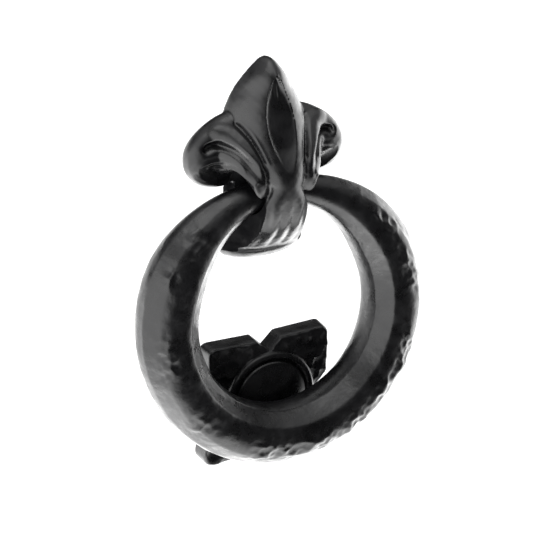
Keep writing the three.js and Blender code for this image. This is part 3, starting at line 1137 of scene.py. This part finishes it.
def studio_world(name):
    """Soft light from a studio all round: glowing panels to the left, to the
    right and behind, a table below and a ceiling above. Each glow is a
    smoothstep of how nearly a direction points at its panel. The camera sees
    a plain white backdrop instead."""
    world = bpy.data.worlds.new(name)
    world.use_nodes = True
    tree = world.node_tree
    tree.nodes.clear()

    look = tree.nodes.new("ShaderNodeTexCoord")
    look.label, look.location = "Direction", (-1300, 0)
    left = tree.nodes.new("ShaderNodeVectorMath")
    left.label, left.location = "Near the left panel", (-1050, 500)
    left_glow = tree.nodes.new("ShaderNodeMapRange")
    left_glow.label, left_glow.location = "Left panel's glow", (-800, 500)
    right = tree.nodes.new("ShaderNodeVectorMath")
    right.label, right.location = "Near the right panel", (-1050, 250)
    right_glow = tree.nodes.new("ShaderNodeMapRange")
    right_glow.label, right_glow.location = "Right panel's glow", (-800, 250)
    behind = tree.nodes.new("ShaderNodeVectorMath")
    behind.label, behind.location = "Near the back wall", (-1050, 0)
    behind_glow = tree.nodes.new("ShaderNodeMapRange")
    behind_glow.label, behind_glow.location = "Back wall's glow", (-800, 0)
    upright = tree.nodes.new("ShaderNodeSeparateXYZ")
    upright.label, upright.location = "Up or down", (-1050, -250)
    table_glow = tree.nodes.new("ShaderNodeMapRange")
    table_glow.label, table_glow.location = "Table's glow from below", (-800, -250)
    ceiling_glow = tree.nodes.new("ShaderNodeMapRange")
    ceiling_glow.label, ceiling_glow.location = "Ceiling panel's glow", (-800, -500)
    sides = tree.nodes.new("ShaderNodeMath")
    sides.label, sides.location = "Both sides", (-550, 400)
    room = tree.nodes.new("ShaderNodeMath")
    room.label, room.location = "Sides and back", (-350, 250)
    level = tree.nodes.new("ShaderNodeMath")
    level.label, level.location = "Table and ceiling", (-550, -350)
    studio = tree.nodes.new("ShaderNodeMath")
    studio.label, studio.location = "Whole studio", (-150, 0)
    dim = tree.nodes.new("ShaderNodeMath")
    dim.label, dim.location = "Dim front of the room", (50, 0)
    lit = tree.nodes.new("ShaderNodeBackground")
    lit.label, lit.location = "Light from the studio", (250, 100)
    backdrop = tree.nodes.new("ShaderNodeBackground")
    backdrop.label, backdrop.location = "Pale backdrop", (250, -100)
    path = tree.nodes.new("ShaderNodeLightPath")
    path.label, path.location = "Seen straight", (250, 450)
    mix = tree.nodes.new("ShaderNodeMixShader")
    mix.label, mix.location = "Backdrop or light", (500, 0)
    output = tree.nodes.new("ShaderNodeOutputWorld")
    output.label, output.location = "World", (750, 0)

    panels = tree.nodes.new("NodeFrame")
    panels.label, panels.location = "Panels round the object", (-1080, 550)
    for node in (left, left_glow, right, right_glow, behind, behind_glow):
        node.parent = panels
    above_below = tree.nodes.new("NodeFrame")
    above_below.label, above_below.location = "Light from above and below", (-1080, -200)
    for node in (upright, table_glow, ceiling_glow, level):
        node.parent = above_below

    for near in (left, right, behind):
        near.operation = "DOT_PRODUCT"
    left.inputs[1].default_value = Vector((-0.9, -0.15, -0.25)).normalized()
    right.inputs[1].default_value = Vector((0.92, 0.2, -0.3)).normalized()
    behind.inputs[1].default_value = Vector((-0.3, 0.8, -0.5)).normalized()
    for glow in (left_glow, right_glow, behind_glow, table_glow, ceiling_glow):
        glow.interpolation_type = "SMOOTHSTEP"
    left_glow.inputs["From Min"].default_value = 0.45
    left_glow.inputs["From Max"].default_value = 0.75
    left_glow.inputs["To Max"].default_value = 2.7
    right_glow.inputs["From Min"].default_value = 0.65
    right_glow.inputs["From Max"].default_value = 0.95
    right_glow.inputs["To Max"].default_value = 4.4
    behind_glow.inputs["From Min"].default_value = 0.62
    behind_glow.inputs["From Max"].default_value = 0.85
    behind_glow.inputs["To Max"].default_value = 2.1
    table_glow.inputs["From Min"].default_value = -0.45
    table_glow.inputs["From Max"].default_value = -0.85
    table_glow.inputs["To Max"].default_value = 3.6
    ceiling_glow.inputs["From Min"].default_value = 0.4
    ceiling_glow.inputs["From Max"].default_value = 0.95
    ceiling_glow.inputs["To Max"].default_value = 1.0
    dim.inputs[1].default_value = 0.05
    backdrop.inputs["Color"].default_value = (1.0, 1.0, 1.0, 1.0)

    tree.links.new(look.outputs["Generated"], left.inputs[0])
    tree.links.new(look.outputs["Generated"], right.inputs[0])
    tree.links.new(look.outputs["Generated"], behind.inputs[0])
    tree.links.new(look.outputs["Generated"], upright.inputs["Vector"])
    tree.links.new(left.outputs["Value"], left_glow.inputs["Value"])
    tree.links.new(right.outputs["Value"], right_glow.inputs["Value"])
    tree.links.new(behind.outputs["Value"], behind_glow.inputs["Value"])
    tree.links.new(upright.outputs["Z"], table_glow.inputs["Value"])
    tree.links.new(upright.outputs["Z"], ceiling_glow.inputs["Value"])
    tree.links.new(left_glow.outputs["Result"], sides.inputs[0])
    tree.links.new(right_glow.outputs["Result"], sides.inputs[1])
    tree.links.new(sides.outputs["Value"], room.inputs[0])
    tree.links.new(behind_glow.outputs["Result"], room.inputs[1])
    tree.links.new(table_glow.outputs["Result"], level.inputs[0])
    tree.links.new(ceiling_glow.outputs["Result"], level.inputs[1])
    tree.links.new(room.outputs["Value"], studio.inputs[0])
    tree.links.new(level.outputs["Value"], studio.inputs[1])
    tree.links.new(studio.outputs["Value"], dim.inputs[0])
    tree.links.new(dim.outputs["Value"], lit.inputs["Color"])
    tree.links.new(path.outputs["Is Camera Ray"], mix.inputs["Fac"])
    tree.links.new(lit.outputs["Background"], mix.inputs[1])
    tree.links.new(backdrop.outputs["Background"], mix.inputs[2])
    tree.links.new(mix.outputs["Shader"], output.inputs["Surface"])
    return world


# ---- Operators --------------------------------------------------------------


class KNOCKER_OT_ring(bpy.types.Operator):
    """Make the swinging ring"""

    bl_idname = "knocker.ring"
    bl_label = "Ring"

    def execute(self, context):
        knocker = context.scene.knocker
        grid = ring_grid(knocker.ring, knocker.finish.hammered)
        piece = new_piece("ring_fine", grid, rows_close=True)
        enamel = knocker.finish.enamel
        material = enamel_material("Ring enamel", enamel, roughness=0.3, speck_depth=0.00014)
        finish_piece(piece, MOVING, "black_enamel", material, "knocker_ring")
        return {"FINISHED"}


class KNOCKER_OT_head(bpy.types.Operator):
    """Make the fleur-de-lis head: its parts are joined by a fine voxel skin, then carved and bored"""

    bl_idname = "knocker.head"
    bl_label = "Head"

    def execute(self, context):
        knocker = context.scene.knocker
        grids = [column_grid(knocker.head.flute_depth / MM)]
        for side in (-1, 1):
            grids.append(lobe_grid(side))
            grids.append(roll_grid(UPPER_ROLL, UPPER_SIZE, side))
            grids.append(roll_grid(LOWER_ROLL, LOWER_SIZE, side))
            grids.append(roll_grid(FILLING, FILLING_SIZE, side))
        piece = new_piece("head_fine", *grids)

        skin = piece.modifiers.new("Skin", "REMESH")
        skin.mode, skin.voxel_size = "VOXEL", SKIN_VOXEL * MM
        skin.use_smooth_shade = True
        soften = piece.modifiers.new("Soften", "SMOOTH")
        soften.factor, soften.iterations = 0.5, SKIN_PASSES
        apply_modifiers(piece)
        carve_head(piece.data, knocker.head)

        rooms = [bore_grid(knocker.ring), stud_hole_grid()]
        rooms += [swing_room_grid(knocker.ring, side) for side in (-1, 1)]
        for room in rooms:
            tool = new_piece("room", room)
            cut = piece.modifiers.new("Cut", "BOOLEAN")
            cut.operation, cut.solver, cut.object = "DIFFERENCE", "EXACT", tool
            apply_modifiers(piece)
            bpy.data.meshes.remove(tool.data)
        piece.data.set_sharp_from_angle(angle=np.radians(50))

        enamel = knocker.finish.enamel
        material = enamel_material("Head enamel", enamel, roughness=0.3, speck_depth=0.00006)
        finish_piece(piece, FIXED, "black_enamel", material, "head_casting")
        # Painted shade: a dull enamel with little shine on the bore and the walls beside it, so they
        # stay dark as if in shadow.
        shade_enamel = enamel_material("Bore painted shade", enamel, roughness=0.7, speck_depth=0.0001, shine=0.06)
        piece.data.materials.append(shade_enamel)
        piece.data.polygons.foreach_set("material_index", painted_shade_faces(piece.data).astype(np.int32))
        return {"FINISHED"}


class KNOCKER_OT_plate(bpy.types.Operator):
    """Make the notched strike plate with its round moulding"""

    bl_idname = "knocker.plate"
    bl_label = "Strike Plate"

    def execute(self, context):
        knocker = context.scene.knocker
        grid = plate_grid(knocker.plate, knocker.finish.hammered)
        piece = new_piece("plate_fine", grid, rows_close=True)
        piece.data.set_sharp_from_angle(angle=np.radians(55))
        enamel = knocker.finish.enamel
        material = enamel_material("Plate enamel", enamel, roughness=0.28, speck_depth=0.00012)
        finish_piece(piece, FIXED, "black_enamel", material, "strike_plate")
        return {"FINISHED"}


class KNOCKER_OT_button(bpy.types.Operator):
    """Make the domed button that the ring strikes, with its shank"""

    bl_idname = "knocker.button"
    bl_label = "Strike Button"

    def execute(self, context):
        knocker = context.scene.knocker
        piece = new_piece("button_fine", button_grid(knocker.plate, knocker.fixings))
        piece.data.set_sharp_from_angle(angle=np.radians(45))
        enamel = knocker.finish.enamel
        material = enamel_material("Button enamel", enamel, roughness=0.26, speck_depth=0.00006)
        finish_piece(piece, FIXED, "black_bolt", material, "strike_bolt")
        return {"FINISHED"}


class KNOCKER_OT_fixings(bpy.types.Operator):
    """Make the head's stud, and both washers and nuts behind the door"""

    bl_idname = "knocker.fixings"
    bl_label = "Fixings"

    def execute(self, context):
        knocker = context.scene.knocker
        zinc = zinc_material("Zinc plate", knocker.finish.zinc)
        low, high = STUD_BOX
        z = (low[2] + high[2]) / 2
        grids = {"head_stud": (threaded_grid(low[1], low[1], high[1], knocker.fixings, z), False)}
        for end in ("head", "strike"):
            low, high = (np.array(c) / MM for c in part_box(f"{end}_nut"))
            z = (low[2] + high[2]) / 2
            grids[f"{end}_nut"] = (nut_grid(low[1], high[1], z), True)
            profile = washer_profile(f"{end}_washer")[:-1]
            grids[f"{end}_washer"] = (turned_grid(profile, 0, z), True)
        for node, (grid, closed) in grids.items():
            piece = new_piece(f"{node}_fine", grid, rows_close=closed)
            piece.data.set_sharp_from_angle(angle=np.radians(35))
            finish_piece(piece, FIXED, "zinc_steel", zinc, node)
        return {"FINISHED"}


class KNOCKER_OT_stage(bpy.types.Operator):
    """Make the pale floor, the soft lights and the camera"""

    bl_idname = "knocker.stage"
    bl_label = "Stage"

    def execute(self, context):
        scene = context.scene
        z = LOADED_BOX[0][2] - FLOOR_DROP
        near, far = -FLOOR_HALF, FLOOR_HALF
        corners = [(near, near, z), (far, near, z), (far, far, z), (near, far, z)]
        floor_mesh = bpy.data.meshes.new("floor")
        floor_mesh.from_pydata(corners, [], [(0, 1, 2, 3)])
        floor = bpy.data.objects.new("floor", floor_mesh)
        scene.collection.objects.link(floor)
        floor.data.materials.append(paper_material("Pale floor", (0.86, 0.86, 0.86), 0.55))
        floor.visible_glossy = False

        scene.world = studio_world("Studio")
        scene.view_settings.view_transform = "Standard"

        middle = Vector((0.0, -0.01, -0.03))
        light = bpy.data.lights.new("overhead_softbox", "AREA")
        light.size, light.energy = 0.7, 2.5
        lamp = bpy.data.objects.new("overhead_softbox", light)
        lamp.location = (-0.15, -0.1, 0.9)
        lamp.rotation_euler = (middle - lamp.location).to_track_quat("-Z", "Y").to_euler()
        scene.collection.objects.link(lamp)

        level = np.cos(VIEW_UP)
        back = Vector((-np.sin(VIEW_LEFT) * level, -np.cos(VIEW_LEFT) * level, np.sin(VIEW_UP)))
        right = Vector((np.cos(VIEW_LEFT), -np.sin(VIEW_LEFT), 0.0))
        up = back.cross(right)
        eye = Vector(VIEW_POINT) + back * VIEW_DISTANCE
        camera = bpy.data.cameras.new("camera")
        camera.sensor_width, camera.lens = VIEW_SENSOR, VIEW_LENS
        camera.clip_start = 0.01
        rig = bpy.data.objects.new("camera", camera)
        rig.matrix_world = Matrix.Translation(eye) @ Matrix((right, up, back)).transposed().to_4x4()
        scene.collection.objects.link(rig)
        scene.camera = rig
        return {"FINISHED"}


# ---- Add-on -----------------------------------------------------------------


class KnockerSettings(bpy.types.PropertyGroup):
    ring: PointerProperty(type=RingSizes)
    head: PointerProperty(type=HeadSizes)
    plate: PointerProperty(type=PlateSizes)
    fixings: PointerProperty(type=FixingSizes)
    finish: PointerProperty(type=Finishes)


STEPS = ("ring", "head", "plate", "button", "fixings", "stage")


class KNOCKER_PT_sidebar(bpy.types.Panel):
    """Sizes and steps of the door knocker"""

    bl_idname = "KNOCKER_PT_sidebar"
    bl_label = "Door Knocker"
    bl_space_type = "VIEW_3D"
    bl_region_type = "UI"
    bl_category = "Knocker"

    def draw(self, context):
        knocker = context.scene.knocker
        for group in (knocker.ring, knocker.head, knocker.plate, knocker.fixings, knocker.finish):
            column = self.layout.column(align=True)
            for name in group.bl_rna.properties.keys():
                if name not in {"rna_type", "name"}:
                    column.prop(group, name)
        for step in STEPS:
            self.layout.operator(f"knocker.{step}")


CLASSES = (
    RingSizes,
    HeadSizes,
    PlateSizes,
    FixingSizes,
    Finishes,
    KnockerSettings,
    KNOCKER_OT_ring,
    KNOCKER_OT_head,
    KNOCKER_OT_plate,
    KNOCKER_OT_button,
    KNOCKER_OT_fixings,
    KNOCKER_OT_stage,
    KNOCKER_PT_sidebar,
)


def register():
    for cls in CLASSES:
        bpy.utils.register_class(cls)
    bpy.types.Scene.knocker = PointerProperty(type=KnockerSettings)


def unregister():
    del bpy.types.Scene.knocker
    for cls in reversed(CLASSES):
        bpy.utils.unregister_class(cls)


def main():
    register()
    for step in STEPS:
        getattr(bpy.ops.knocker, step)()


if __name__ == "__main__":
    main()
